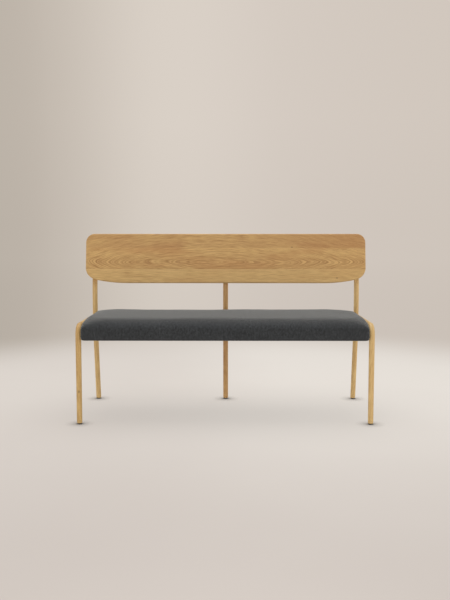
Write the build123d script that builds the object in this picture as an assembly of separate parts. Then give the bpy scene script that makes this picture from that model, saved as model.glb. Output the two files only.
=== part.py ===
from build123d import *
import math
import os

# Bench with a back: round wooden legs, three bent rear posts, an edge-glued backrest board
# and an upholstered seat hung between two side frames.
# Millimetres. X runs along the bench, Y from front to back, Z up.
# The origin is on the floor under the middle of the overall box.

# Overall sizes, the backrest being the widest piece
overall_height = 824.0
overall_depth = 577.0
backrest_width = 1358.0

# Round stock
rail_diameter = 25.0
front_foot_diameter = 23.4
rear_leg_diameter = 24.0

# Front legs and side rails
front_bend_radius = 42.0
rail_top_below_crest = 23.5
rail_drop_angle = 0.9
leg_return_length = 24.0
rail_tenon_diameter = 14.0
rail_tenon_length = 22.0
rear_tenon_past_axis = 3.0

# Rear legs
rear_rake_angle = 10.8
lower_bend_below_seat = 26.0
lower_bend_radius = 300.0
upper_bend_above_seat = 58.0
upper_bend_radius = 450.0
back_lean_angle = 9.8
post_flat_depth = 3.0
post_top_below_board = 30.0
post_end_round = 3.0

# Backrest board
backrest_end_overhang = 41.5
back_gap_height = 121.5
backrest_height = 240.0
backrest_thickness = 22.0
backrest_edge_round = 5.0
top_corner_radius = 42.0
bottom_corner_radius = 58.0
bottom_sweep_radius = 700.0
bottom_sweep_reach = 201.0
top_stave_height = 69.0
bottom_stave_height = 66.5
backrest_bolt_inset = 42.0

# Seat outside
seat_front_overhang = 30.0
seat_thickness = 96.0
seat_corner_radius = 14.0
seat_upper_corner_radius = 88.0
seat_front_roll_depth = 110.0
seat_front_roll_height = 40.0
seat_end_roll_depth = 22.0
seat_end_roll_height = 22.0
seat_rear_roll_depth = 34.0
seat_rear_roll_height = 25.0
seat_crown_rise = 5.0
seat_end_crown_reach = 80.0
seat_rear_crown_reach = 65.0
seat_lower_edge_round = 6.0
seat_side_gap = 0.6
seat_rear_gap = 1.5

# Seat covering
cover_thickness = 1.5
cover_gap = 0.3
cover_hem_width = 34.0
pad_side_thickness = 7.0
dust_cover_thickness = 0.6
dust_cover_edge_inset = 12.0
staple_inset = 16.0
staple_spacing = 80.0
staple_crown_width = 11.0
staple_leg_length = 8.0
staple_wire = 0.7

# Seat frame
frame_rail_thickness = 22.0
frame_rail_height = 44.0
end_rail_thickness = 28.0
end_rail_height = 67.0
end_rail_step = 44.0
end_rail_rabbet = 10.0
end_rail_top_round = 3.0
frame_corner_round = 16.0
cross_bar_spacing = 430.0
corner_block_leg = 62.0
corner_block_height = 34.0
block_screw_height_shares = (0.3, 0.7)
dowel_diameter = 8.0
dowel_length = 36.0
dowel_glue_room = 1.0
dowel_height_shares = (0.28, 0.72)
deck_thickness = 9.0

# Fasteners
bolt_diameter = 6.0
bolt_head_diameter = 10.0
bolt_head_height = 6.0
bolt_socket_width = 5.0
bolt_socket_depth = 3.0
counterbore_depth = 8.0
insert_diameter = 10.0
insert_length = 15.0
bolt_end_room = 1.0
spacer_diameter = 14.0
front_bolt_above_seat_bottom = 15.0
side_bolt_from_leg = 118.0
side_bolt_from_post = 96.0
screw_diameter = 4.0
screw_head_diameter = 8.0
deck_screw_length = 24.0
block_screw_length = 30.0
deck_screw_spacing = 170.0
deck_screw_from_end = 45.0

# Feet
glide_height = 5.0
glide_diameter = 18.0
glide_edge_round = 1.0
nail_diameter = 2.6
nail_head_diameter = 8.0
nail_head_height = 1.4
nail_head_lift = 1.8
nail_length = 18.0

# Clearances and one overrun for every cut
fit_gap = 0.1
pad_hole_gap = 0.4
overrun = 20.0

# Steps in which the seat's rounded edges and crown are drawn
foot_steps = 3
roll_steps = 9
crown_reach_shares = (0.0, 0.12, 0.3, 0.52, 0.74, 0.92)
crown_corner_share = 0.9

# Worked out from the sizes above
rake = math.radians(rear_rake_angle)
lean = math.radians(back_lean_angle)
drop = math.radians(rail_drop_angle)
rail_radius = rail_diameter / 2
rear_leg_radius = rear_leg_diameter / 2
leg_spacing = backrest_width - 2 * backrest_end_overhang
leg_x = leg_spacing / 2
bottom_straight_half = backrest_width / 2 - bottom_sweep_reach
board_back = rear_leg_radius - post_flat_depth
board_front = board_back + backrest_thickness
seat_crest_height = overall_height - backrest_height * math.cos(lean) - back_gap_height
seat_bottom_height = seat_crest_height - seat_thickness
rail_top_height = seat_crest_height - rail_top_below_crest
front_bolt_height = seat_bottom_height + front_bolt_above_seat_bottom
lower_bend_height = seat_bottom_height - lower_bend_below_seat
upper_bend_height = seat_crest_height + upper_bend_above_seat
front_leg_y = -overall_depth / 2 + seat_front_overhang
rail_axis_height = rail_top_height - rail_radius
front_bend_height = rail_axis_height - front_bend_radius * math.cos(drop)
rail_start_y = front_leg_y + front_bend_radius * (1 + math.sin(drop))
rear_foot_y = overall_depth / 2 - rear_leg_radius / math.cos(rake)
lower_bend_y = rear_foot_y - (lower_bend_height - glide_height) * math.tan(rake)
post_y = lower_bend_y - lower_bend_radius * (1 - math.cos(rake))
lean_start_y = post_y + upper_bend_radius * (1 - math.cos(lean))
lean_start_height = upper_bend_height + upper_bend_radius * math.sin(lean)

board_top = (
    overall_height - backrest_edge_round - lean_start_height
    - (board_front - backrest_edge_round) * math.sin(lean)
) / math.cos(lean) + backrest_edge_round
board_bottom = board_top - backrest_height
board_plane = Plane(
    origin=(0, lean_start_y, lean_start_height),
    x_dir=(1, 0, 0),
    z_dir=(0, -math.cos(lean), math.sin(lean)),
)

seat_half_width = leg_x - rail_radius - seat_side_gap
seat_front_y = -overall_depth / 2
seat_rear_y = post_y - rear_leg_radius - seat_rear_gap
frame_bottom = seat_bottom_height + cover_thickness
frame_half_width = seat_half_width - cover_thickness - pad_side_thickness
frame_front_y = seat_front_y + cover_thickness + pad_side_thickness
frame_rear_y = seat_rear_y - cover_thickness - pad_side_thickness
frame_top = frame_bottom + frame_rail_height
deck_top = frame_top + deck_thickness
end_rail_inner_x = frame_half_width - end_rail_thickness
rear_bolt_height = frame_bottom + frame_rail_height / 2


def box_between(low, high):
    """A box from one corner to the opposite one."""
    size = [b - a for a, b in zip(low, high)]
    middle = [(a + b) / 2 for a, b in zip(low, high)]
    return Pos(*middle) * Box(*size)


def rod(start, end, radius):
    """A round rod between two points."""
    start = Vector(*start)
    along = Vector(*end) - start
    return Plane(origin=start, z_dir=along) * Cylinder(
        radius, along.length, align=(Align.CENTER, Align.CENTER, Align.MIN)
    )


def group(solids):
    """Several separate solids of one node."""
    return Compound([piece.solid() for piece in solids])


def mirrored(piece):
    """The same piece on the other side of the bench."""
    return mirror(piece, about=Plane.YZ)


def both_sides(pieces):
    """The pieces and their mirror images."""
    return pieces + [mirrored(piece) for piece in pieces]


def round_bar(path, radius, start_tangent):
    """A round bar swept along a flat path of lines and tangent arcs."""
    section = Plane(origin=path @ 0, z_dir=start_tangent) * Circle(radius)
    return sweep(section, path=path)


# Fasteners, drawn with the head's underside at the origin and the shank along +Z


def bolt(length):
    head = Pos(0, 0, -bolt_head_height) * Cylinder(
        bolt_head_diameter / 2, bolt_head_height, align=(Align.CENTER, Align.CENTER, Align.MIN)
    )
    shank = Cylinder(bolt_diameter / 2, length, align=(Align.CENTER, Align.CENTER, Align.MIN))
    socket = extrude(
        Pos(0, 0, -bolt_head_height) * RegularPolygon(bolt_socket_width / 2, 6, major_radius=False),
        amount=bolt_socket_depth,
    )
    return head + shank - socket


def bolt_hole(length):
    """Clearance for a bolt's shank, with the counterbore for its head."""
    shank = Cylinder(
        bolt_diameter / 2 + fit_gap, length, align=(Align.CENTER, Align.CENTER, Align.MIN)
    )
    mouth = Cylinder(
        bolt_head_diameter / 2 + fit_gap, counterbore_depth + overrun,
        align=(Align.CENTER, Align.CENTER, Align.MAX),
    )
    return shank + mouth


def insert():
    """A threaded sleeve, its mouth at the origin."""
    outer = Cylinder(
        insert_diameter / 2, insert_length, align=(Align.CENTER, Align.CENTER, Align.MIN)
    )
    bore = Cylinder(
        bolt_diameter / 2 + fit_gap, insert_length, align=(Align.CENTER, Align.CENTER, Align.MIN)
    )
    return outer - bore


def insert_hole():
    return Cylinder(
        insert_diameter / 2 + fit_gap, insert_length, align=(Align.CENTER, Align.CENTER, Align.MIN)
    )


def wood_screw(length, grow=0.0):
    """A countersunk screw, its head flush with the origin."""
    head_height = (screw_head_diameter - screw_diameter) / 2
    head = Cone(
        screw_head_diameter / 2 + grow, screw_diameter / 2 + grow, head_height,
        align=(Align.CENTER, Align.CENTER, Align.MIN),
    )
    shank = Cylinder(
        screw_diameter / 2 + grow, length + grow, align=(Align.CENTER, Align.CENTER, Align.MIN)
    )
    return head + shank


# Side frames


def rail_axis(y):
    """Height of a side rail's axis, which drops a little towards the back."""
    return rail_axis_height - (y - rail_start_y) * math.tan(drop)


def rail_point(y):
    return (leg_x, y, rail_axis(y))


def front_leg_blank():
    """Tapered leg, bent back at the top into a short straight return."""
    taper = Pos(leg_x, front_leg_y, glide_height) * Cone(
        front_foot_diameter / 2, rail_radius, front_bend_height - glide_height,
        align=(Align.CENTER, Align.CENTER, Align.MIN),
    )
    bend = JernArc(
        start=(front_leg_y, front_bend_height), tangent=(0, 1),
        radius=front_bend_radius, arc_size=-(90 + rail_drop_angle),
    )
    straight = Line(bend @ 1, (bend @ 1) + (bend % 1) * leg_return_length)
    path = Plane.YZ.offset(leg_x) * (bend + straight)
    return taper + round_bar(path, rail_radius, (0, 0, 1))


def rear_leg_blank(x):
    """One bent post: raked foot, upright middle and leaning top."""
    up = (-math.sin(rake), math.cos(rake))
    foot = (rear_foot_y + overrun * math.tan(rake), glide_height - overrun)
    lower = Line(foot, (lower_bend_y, lower_bend_height))
    first_bend = JernArc(lower @ 1, up, lower_bend_radius, -rear_rake_angle)
    middle = Line(first_bend @ 1, (post_y, upper_bend_height))
    second_bend = JernArc(middle @ 1, (0, 1), upper_bend_radius, -back_lean_angle)
    top_length = board_top - post_top_below_board
    top = Line(second_bend @ 1, (second_bend @ 1) + (second_bend % 1) * top_length)
    path = Plane.YZ.offset(x) * (lower + first_bend + middle + second_bend + top)
    bar = round_bar(path, rear_leg_radius, (0, up[0], up[1]))
    bar = fillet(bar.edges().sort_by(Axis.Z)[-1], post_end_round)
    floor = box_between(
        (x - rear_leg_diameter, 0, glide_height - 2 * overrun),
        (x + rear_leg_diameter, overall_depth, glide_height),
    )
    return bar - floor


def post_flat(x):
    """The milled flat that the backrest seats on."""
    width = rear_leg_diameter
    return board_plane * box_between(
        (x - width, board_bottom, board_back),
        (x + width, board_top, board_front),
    )


def rail_blank(rear_blank):
    """Side rail with a round tenon at each end, its shoulder coped to the rear leg."""
    shoulder_y = rail_start_y + leg_return_length * math.cos(drop)
    front_y = shoulder_y - rail_tenon_length * math.cos(drop)
    body = rod(rail_point(shoulder_y), rail_point(post_y), rail_radius) - rear_blank
    body = body.solids().sort_by(Axis.Y)[0]
    tenon = rod(
        rail_point(front_y), rail_point(post_y + rear_tenon_past_axis), rail_tenon_diameter / 2
    )
    return body + tenon


def rail_sockets():
    """Holes for the rail's two tenons."""
    shoulder_y = rail_start_y + leg_return_length * math.cos(drop)
    front_y = shoulder_y - (rail_tenon_length + dowel_glue_room) * math.cos(drop)
    rear_y = post_y + rear_tenon_past_axis + dowel_glue_room
    return rod(rail_point(front_y), rail_point(rear_y), rail_tenon_diameter / 2 + fit_gap)


# Places of the bolts that hold the seat and the backrest

side_bolt_points = [
    (front_leg_y, front_bolt_height),
    (front_leg_y + side_bolt_from_leg, rail_axis(front_leg_y + side_bolt_from_leg)),
    (post_y - side_bolt_from_post, rail_axis(post_y - side_bolt_from_post)),
]
side_bolt_seat_x = leg_x + rail_radius - counterbore_depth
side_bolt_length = side_bolt_seat_x - frame_half_width + insert_length - bolt_end_room
rear_bolt_seat_y = post_y + rear_leg_radius - counterbore_depth
rear_bolt_length = rear_bolt_seat_y - frame_rear_y + insert_length - bolt_end_room
back_bolt_seat = rear_leg_radius - counterbore_depth
back_bolt_length = back_bolt_seat + board_back + insert_length - bolt_end_room
back_bolt_heights = (board_bottom + backrest_bolt_inset, board_top - backrest_bolt_inset)
post_places = (-leg_x, 0, leg_x)


def at_side(piece, x, y, z):
    """Turns a fastener to point inwards along -X."""
    return Plane(origin=(x, y, z), z_dir=(-1, 0, 0)) * piece


def at_rear(piece, y):
    """Turns a fastener to point forwards at the middle of the rear rail."""
    return Plane(origin=(0, y, rear_bolt_height), z_dir=(0, -1, 0)) * piece


def at_board(piece, x, height, depth):
    """Turns a fastener to point forwards, square to the leaning board."""
    return board_plane * Pos(x, height, depth) * piece


def seat_fasteners(side_piece, rear_piece, side_x, rear_y):
    """One piece at every side bolt on both sides, and one at the centre rear leg."""
    pieces = both_sides([at_side(side_piece, side_x, y, z) for y, z in side_bolt_points])
    return pieces + [at_rear(rear_piece, rear_y)]


def board_fasteners(piece, depth):
    return [at_board(piece, x, h, depth) for x in post_places for h in back_bolt_heights]


# Backrest


def board_outline():
    """The board's outline in its own plane, from the middle of the bottom edge round one side."""
    half = backrest_width / 2
    reach = half - bottom_corner_radius - bottom_straight_half
    turn = math.asin(reach / (bottom_sweep_radius - bottom_corner_radius))
    bottom = Line((0, board_bottom), (bottom_straight_half, board_bottom))
    gentle = JernArc(bottom @ 1, (1, 0), bottom_sweep_radius, math.degrees(turn))
    corner = JernArc(gentle @ 1, gentle % 1, bottom_corner_radius, 90 - math.degrees(turn))
    side = Line(corner @ 1, (half, board_top - top_corner_radius))
    upper = JernArc(side @ 1, (0, 1), top_corner_radius, 90)
    top = Line(upper @ 1, (0, board_top))
    right = bottom + gentle + corner + side + upper + top
    return make_face(right + mirror(right, about=Plane.YZ))


def board():
    """The whole board with its rounded edges, bored for the inserts."""
    slab = extrude(Pos(0, 0, board_back) * board_outline(), amount=backrest_thickness)
    rims = slab.edges().group_by(Axis.Z)[0] + slab.edges().group_by(Axis.Z)[-1]
    slab = board_plane * fillet(rims, backrest_edge_round)
    return slab - board_fasteners(insert_hole(), board_back)


def staves():
    """Three staves cut from the board, glued edge to edge."""
    whole = board()
    half = backrest_width / 2 + overrun
    seams = (
        board_bottom - overrun,
        board_bottom + bottom_stave_height,
        board_top - top_stave_height,
        board_top + overrun,
    )
    pieces = []
    for low, high in zip(seams, seams[1:]):
        slice_box = box_between(
            (-half, low, board_back - overrun), (half, high, board_front + overrun)
        )
        pieces.append((whole & (board_plane * slice_box)).solid())
    return pieces


# Seat


def seat_section(height, end_inset, front_inset, rear_inset, corner):
    """The seat's outline at one height: a rectangle with rounded corners."""
    depth = seat_rear_y - seat_front_y - front_inset - rear_inset
    middle = (seat_front_y + front_inset + seat_rear_y - rear_inset) / 2
    width = 2 * (seat_half_width - end_inset)
    return Plane(origin=(0, middle, height)) * RectangleRounded(width, depth, corner)


def seat_body(shrink):
    """The upholstered seat's outside, drawn in by shrink on every side.

    Its lower edge is rounded, its walls are upright, and its top rolls over and rises to a crown.
    The front rolls over much further than the ends and the rear.
    """
    bottom = seat_bottom_height + shrink
    foot = seat_lower_edge_round
    depths = [seat_end_roll_depth, seat_front_roll_depth, seat_rear_roll_depth]
    heights = [seat_end_roll_height, seat_front_roll_height, seat_rear_roll_height]
    depths = [depth - shrink for depth in depths]
    heights = [height - shrink for height in heights]
    roll_top = seat_crest_height - shrink - seat_crown_rise
    roll_start = roll_top - max(heights)
    corner = seat_corner_radius - shrink
    growth = seat_upper_corner_radius - seat_corner_radius
    sections = []
    for step in range(foot_steps):
        turn = math.pi / 2 * step / foot_steps
        inset = foot * (1 - math.sin(turn))
        height = bottom + foot * (1 - math.cos(turn))
        insets = [shrink + inset] * 3
        sections.append(seat_section(height, *insets, corner - inset))
    sections.append(seat_section(bottom + foot, shrink, shrink, shrink, corner))
    for step in range(roll_steps):
        rise = math.sin(math.pi / 2 * step / roll_steps)
        height = roll_start + (roll_top - roll_start) * rise
        insets = []
        for roll_depth, roll_height in zip(depths, heights):
            above = max(0, height - (roll_top - roll_height)) / roll_height
            insets.append(shrink + roll_depth * (1 - math.sqrt(1 - above ** 2)))
        sections.append(seat_section(height, *insets, corner + growth * rise))
    flat_depth = seat_rear_y - seat_front_y - 2 * shrink - depths[1] - depths[2]
    reaches = [seat_end_crown_reach, flat_depth - seat_rear_crown_reach, seat_rear_crown_reach]
    for share in crown_reach_shares:
        height = roll_top + seat_crown_rise * (1 - (1 - share) ** 2)
        insets = [shrink + depth + reach * share for depth, reach in zip(depths, reaches)]
        top_corner = min(corner + growth, flat_depth / 2 * (1 - share) * crown_corner_share)
        sections.append(seat_section(height, *insets, top_corner))
    return loft(sections, ruled=True)


def frame_outline(grow=0.0):
    """Plan of the wooden frame with its rounded outer corners."""
    width = 2 * (frame_half_width + grow)
    depth = frame_rear_y - frame_front_y + 2 * grow
    middle = (frame_front_y + frame_rear_y) / 2
    return Pos(0, middle, 0) * RectangleRounded(width, depth, frame_corner_round + grow)


def dowel_places():
    """Start and end of every dowel: rail ends into the end rails, cross bars into the rails."""
    heights = [frame_bottom + frame_rail_height * share for share in dowel_height_shares]
    half = dowel_length / 2
    places = []
    for z in heights:
        for y in (frame_front_y, frame_rear_y):
            inward = math.copysign(frame_rail_thickness / 2, -y)
            for side in (-1, 1):
                x = side * end_rail_inner_x
                places.append(((x - half, y + inward, z), (x + half, y + inward, z)))
        for x in (-cross_bar_spacing / 2, cross_bar_spacing / 2):
            for y in (frame_front_y + frame_rail_thickness, frame_rear_y - frame_rail_thickness):
                places.append(((x, y - half, z), (x, y + half, z)))
    return places


def dowels(grow=0.0, room=0.0):
    pieces = []
    for start, end in dowel_places():
        along = (Vector(*end) - Vector(*start)).normalized()
        start = Vector(*start) - along * room
        end = Vector(*end) + along * room
        pieces.append(rod(start, end, dowel_diameter / 2 + grow))
    return pieces


def block_screw_planes():
    """Two screws through each corner block, one into each rail, for one corner."""
    half_leg = corner_block_leg / 2
    inner_y = frame_front_y + frame_rail_thickness
    low, high = [frame_bottom + corner_block_height * share for share in block_screw_height_shares]
    into_end = Plane(
        origin=(end_rail_inner_x - half_leg / 2, inner_y + half_leg, low), z_dir=(1, 0, 0)
    )
    into_front = Plane(
        origin=(end_rail_inner_x - half_leg, inner_y + half_leg / 2, high), z_dir=(0, -1, 0)
    )
    return [into_end, into_front]


def four_corners(pieces):
    """Copies one corner's pieces to the other three."""
    middle = (frame_front_y + frame_rear_y) / 2
    rear = [mirror(piece, about=Plane.XZ.offset(-middle)) for piece in pieces]
    return both_sides(pieces + rear)


def block_screws(grow=0.0):
    pieces = [plane * wood_screw(block_screw_length, grow) for plane in block_screw_planes()]
    return four_corners(pieces)


def corner_blocks():
    """A triangular block in each inner corner of the frame."""
    inner_y = frame_front_y + frame_rail_thickness
    triangle = make_face(
        Polyline(
            (end_rail_inner_x, inner_y),
            (end_rail_inner_x - corner_block_leg, inner_y),
            (end_rail_inner_x, inner_y + corner_block_leg),
            close=True,
        )
    )
    block = extrude(Pos(0, 0, frame_bottom) * triangle, amount=corner_block_height)
    pockets = [
        plane * Cylinder(
            screw_head_diameter / 2 + fit_gap, corner_block_leg,
            align=(Align.CENTER, Align.CENTER, Align.MAX),
        )
        for plane in block_screw_planes()
    ]
    screws = [
        plane * wood_screw(block_screw_length, fit_gap) for plane in block_screw_planes()
    ]
    return four_corners([block - pockets - screws])


def deck_screw_points():
    """Screws round the deck's edge and down the cross bars."""
    half_rail = frame_rail_thickness / 2
    reach = end_rail_inner_x - deck_screw_from_end
    gaps = round(2 * reach / deck_screw_spacing)
    xs = [-reach + 2 * reach * i / gaps for i in range(gaps + 1)]
    points = [(x, y) for x in xs for y in (frame_front_y + half_rail, frame_rear_y - half_rail)]
    middle = (frame_front_y + frame_rear_y) / 2
    points += [(x, middle) for x in (-cross_bar_spacing / 2, cross_bar_spacing / 2)]
    return points


def deck_screws(grow=0.0):
    down = (0, 0, -1)
    return [
        Plane(origin=(x, y, deck_top), z_dir=down) * wood_screw(deck_screw_length, grow)
        for x, y in deck_screw_points()
    ]


def staple(grow=0.0):
    """One staple, its crown under the dust cover and its legs up into the wood."""
    half = staple_crown_width / 2
    wire = staple_wire / 2 + grow
    crown = box_between((-half - wire, -wire, -staple_wire), (half + wire, wire, 0))
    legs = [
        box_between((x - wire, -wire, -wire), (x + wire, wire, staple_leg_length + grow))
        for x in (-half, half)
    ]
    return crown + legs


def staple_planes():
    """Staples set all round the frame's underside, along its edges."""
    x_line = frame_half_width - staple_inset
    y_front = frame_front_y + staple_inset
    y_rear = frame_rear_y - staple_inset
    z = seat_bottom_height - dust_cover_thickness
    long_count = round(2 * x_line / staple_spacing)
    short_count = round((y_rear - y_front) / staple_spacing)
    planes = []
    for i in range(long_count):
        x = -x_line + 2 * x_line * (i + 0.5) / long_count
        for y in (y_front, y_rear):
            planes.append(Plane(origin=(x, y, z), x_dir=(1, 0, 0), z_dir=(0, 0, 1)))
    for i in range(short_count):
        y = y_front + (y_rear - y_front) * (i + 0.5) / short_count
        for x in (-x_line, x_line):
            planes.append(Plane(origin=(x, y, z), x_dir=(0, 1, 0), z_dir=(0, 0, 1)))
    return planes


def staples(grow=0.0):
    return [plane * staple(grow) for plane in staple_planes()]


def end_rail_rise():
    """The taller middle of an end rail, which meets the side rail's bolts."""
    rise = box_between(
        (end_rail_inner_x + end_rail_rabbet, frame_front_y + end_rail_step, frame_bottom),
        (frame_half_width, frame_rear_y - end_rail_step, frame_bottom + end_rail_height),
    )
    return fillet(rise.edges().group_by(Axis.Z)[-1].sort_by(Axis.X)[-1], end_rail_top_round)


def end_rail():
    """End rail: its inner edge carries the deck, its middle stands up past it."""
    plan = extrude(Pos(0, 0, frame_bottom) * frame_outline(), amount=frame_rail_height)
    keep = box_between(
        (end_rail_inner_x, frame_front_y, frame_bottom), (leg_x, frame_rear_y, frame_top)
    )
    return (plan & keep) + end_rail_rise()


def long_rail(front):
    """Front or rear rail between the end rails."""
    outer = frame_front_y if front else frame_rear_y
    inner = outer + math.copysign(frame_rail_thickness, -outer)
    return box_between(
        (-end_rail_inner_x, min(outer, inner), frame_bottom),
        (end_rail_inner_x, max(outer, inner), frame_top),
    )


def cross_bar(x):
    half = frame_rail_thickness / 2
    return box_between(
        (x - half, frame_front_y + frame_rail_thickness, frame_bottom),
        (x + half, frame_rear_y - frame_rail_thickness, frame_top),
    )


def deck_panel():
    half = end_rail_inner_x + end_rail_rabbet
    return box_between((-half, frame_front_y, frame_top), (half, frame_rear_y, deck_top))


def spacer_holes():
    """Room in the padding and the cover for the spacers on the seat's bolts."""
    tool = Cylinder(
        spacer_diameter / 2 + pad_hole_gap, overrun, align=(Align.CENTER, Align.CENTER, Align.MIN)
    )
    return seat_fasteners(tool, tool, frame_half_width + overrun, frame_rear_y + overrun)


def foam():
    """Foam over the deck, wrapped down round the frame's sides."""
    pad = seat_body(cover_thickness + cover_gap)
    wood = extrude(
        Pos(0, 0, frame_bottom - overrun) * frame_outline(), amount=frame_rail_height + overrun
    )
    rises = both_sides([end_rail_rise()])
    return (pad - wood - deck_panel() - rises - spacer_holes()).solid()


def cover(staple_tools):
    """Fabric over the pad, turned under the frame to a hem."""
    shell = seat_body(0) - seat_body(cover_thickness)
    opening = box_between(
        (-seat_half_width + cover_hem_width, seat_front_y + cover_hem_width, 0),
        (seat_half_width - cover_hem_width, seat_rear_y - cover_hem_width, frame_bottom + fit_gap),
    )
    return (shell - opening - spacer_holes() - staple_tools).solid()


def dust_cover(staple_tools):
    """Thin sheet under the frame, over the cover's hem."""
    sheet = extrude(
        Pos(0, 0, seat_bottom_height - dust_cover_thickness) * frame_outline(-dust_cover_edge_inset),
        amount=dust_cover_thickness,
    )
    return (sheet - staple_tools).solid()


# Feet


def glide(x, y):
    """A hard pad moulded round the head of its nail."""
    pad = Cylinder(
        glide_diameter / 2, glide_height, align=(Align.CENTER, Align.CENTER, Align.MIN)
    )
    pad = fillet(pad.edges().sort_by(Axis.Z)[0], glide_edge_round)
    return Pos(x, y, 0) * (pad - nail())


def nail(grow=0.0):
    head = Pos(0, 0, nail_head_lift) * Cylinder(
        nail_head_diameter / 2, nail_head_height, align=(Align.CENTER, Align.CENTER, Align.MIN)
    )
    shank = Pos(0, 0, nail_head_lift) * Cylinder(
        nail_diameter / 2 + grow, nail_length + grow, align=(Align.CENTER, Align.CENTER, Align.MIN)
    )
    return head + shank


foot_places = [
    (-leg_x, front_leg_y),
    (leg_x, front_leg_y),
    (-leg_x, rear_foot_y),
    (0, rear_foot_y),
    (leg_x, rear_foot_y),
]


def from_middle(part):
    """How far out a solid lies, to keep the one on the seat's side of its leg."""
    return abs(part.center().X) + part.center().Y


def build():
    """Every node of the bench by name."""
    nodes = {}
    nail_holes = [Pos(x, y, 0) * nail(fit_gap) for x, y in foot_places]
    seat_holes = seat_fasteners(
        bolt_hole(side_bolt_length), bolt_hole(rear_bolt_length), side_bolt_seat_x, rear_bolt_seat_y
    )
    back_holes = board_fasteners(bolt_hole(back_bolt_length), -back_bolt_seat)
    insert_holes = seat_fasteners(insert_hole(), insert_hole(), frame_half_width, frame_rear_y)

    front_blank = front_leg_blank()
    rear_blanks = {x: rear_leg_blank(x) for x in post_places}
    sockets = rail_sockets()

    leg = front_blank - sockets - seat_holes - nail_holes
    nodes["front_leg_right"] = leg.solid()
    nodes["front_leg_left"] = mirrored(leg).solid()
    bare_rail = rail_blank(rear_blanks[leg_x])
    rail = bare_rail - seat_holes
    nodes["side_rail_right"] = rail.solid()
    nodes["side_rail_left"] = mirrored(rail).solid()
    for name, x in zip(("left", "center", "right"), post_places):
        post = rear_blanks[x] - post_flat(x) - back_holes - seat_holes - nail_holes
        post = post - both_sides([sockets])
        nodes[f"rear_leg_{name}"] = post.solid()

    for name, piece in zip(("bottom", "middle", "top"), staves()):
        nodes[f"backrest_{name}_stave"] = piece
    nodes["backrest_bolts"] = group(board_fasteners(bolt(back_bolt_length), -back_bolt_seat))
    nodes["backrest_inserts"] = group(board_fasteners(insert(), board_back))

    dowel_tools = dowels(fit_gap, dowel_glue_room)
    staple_tools = staples(fit_gap)
    frame_tools = dowel_tools + staple_tools + insert_holes + block_screws(fit_gap)
    frame_tools = frame_tools + deck_screws(fit_gap) + seat_holes
    rail = end_rail() - frame_tools
    nodes["seat_frame_end_rail_right"] = rail.solid()
    nodes["seat_frame_end_rail_left"] = mirrored(rail).solid()
    nodes["seat_frame_front_rail"] = (long_rail(True) - frame_tools).solid()
    nodes["seat_frame_rear_rail"] = (long_rail(False) - frame_tools).solid()
    bars = [cross_bar(side * cross_bar_spacing / 2) - frame_tools for side in (-1, 1)]
    nodes["seat_frame_cross_bars"] = group(bars)
    nodes["seat_frame_dowels"] = group(dowels())
    nodes["seat_corner_blocks"] = group(corner_blocks())
    nodes["corner_block_screws"] = group(block_screws())
    nodes["seat_deck"] = (deck_panel() - deck_screws(fit_gap)).solid()
    nodes["seat_deck_screws"] = group(deck_screws())
    nodes["seat_foam"] = foam()
    nodes["seat_cover"] = cover(staple_tools)
    nodes["seat_dust_cover"] = dust_cover(staple_tools)
    nodes["seat_staples"] = group(staples())

    nodes["seat_bolts"] = group(
        seat_fasteners(bolt(side_bolt_length), bolt(rear_bolt_length), side_bolt_seat_x, rear_bolt_seat_y)
    )
    nodes["seat_inserts"] = group(
        seat_fasteners(insert(), insert(), frame_half_width, frame_rear_y)
    )
    spacer = Cylinder(
        spacer_diameter / 2, leg_x - frame_half_width, align=(Align.CENTER, Align.CENTER, Align.MAX)
    )
    spacers = seat_fasteners(spacer, spacer, frame_half_width, frame_rear_y)
    carriers = both_sides([front_blank, bare_rail, bare_rail]) + [rear_blanks[0]]
    nodes["seat_spacers"] = group(
        [
            (piece - carrier - seat_holes).solids().sort_by(from_middle)[0]
            for piece, carrier in zip(spacers, carriers)
        ]
    )
    nodes["foot_glides"] = group([glide(x, y) for x, y in foot_places])
    nodes["glide_nails"] = group([Pos(x, y, 0) * nail() for x, y in foot_places])
    return nodes


os.makedirs("parts", exist_ok=True)
for node_name, shape in build().items():
    export_step(shape, f"parts/{node_name}.step")
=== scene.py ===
# %% [markdown]
# # A bench with a back, dressed
# The bench comes in as a fixed frame: every wooden piece, bolt and glide already has its true
# shape and place. This lesson gives each of them its finish, makes the upholstered seat as the
# soft thing it is, and lights the whole as in a small photo studio.
# Each step says what the piece is, how it could be made, and why one way was chosen.

# %% Load the frame
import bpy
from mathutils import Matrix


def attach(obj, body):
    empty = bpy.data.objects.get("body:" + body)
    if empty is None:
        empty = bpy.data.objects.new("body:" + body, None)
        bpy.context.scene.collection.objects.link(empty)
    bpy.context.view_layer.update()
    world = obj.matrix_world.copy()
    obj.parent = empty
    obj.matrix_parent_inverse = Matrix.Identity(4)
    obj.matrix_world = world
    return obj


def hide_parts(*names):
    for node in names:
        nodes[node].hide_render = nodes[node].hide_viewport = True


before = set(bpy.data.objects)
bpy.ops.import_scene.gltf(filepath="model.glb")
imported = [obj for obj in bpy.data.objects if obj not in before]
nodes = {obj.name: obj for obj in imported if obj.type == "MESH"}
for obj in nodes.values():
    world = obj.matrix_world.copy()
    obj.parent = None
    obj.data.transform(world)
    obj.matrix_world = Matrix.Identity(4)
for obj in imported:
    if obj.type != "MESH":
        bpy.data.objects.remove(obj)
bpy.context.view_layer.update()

# %% [markdown]
# ## A few helpers
# A material in Blender is a small graph of nodes. One function that adds a node, sets its values
# and fills its inputs keeps such a graph readable: an input takes a number, a socket, or another
# node, whose first output in use is then linked. Colours are written as the sRGB hex codes that a
# colour picker shows, and one function turns them into the linear light that Blender works in.

# %% Helpers
import bmesh
import bpy
import math
from mathutils import Vector, noise

MM = 0.001


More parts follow.
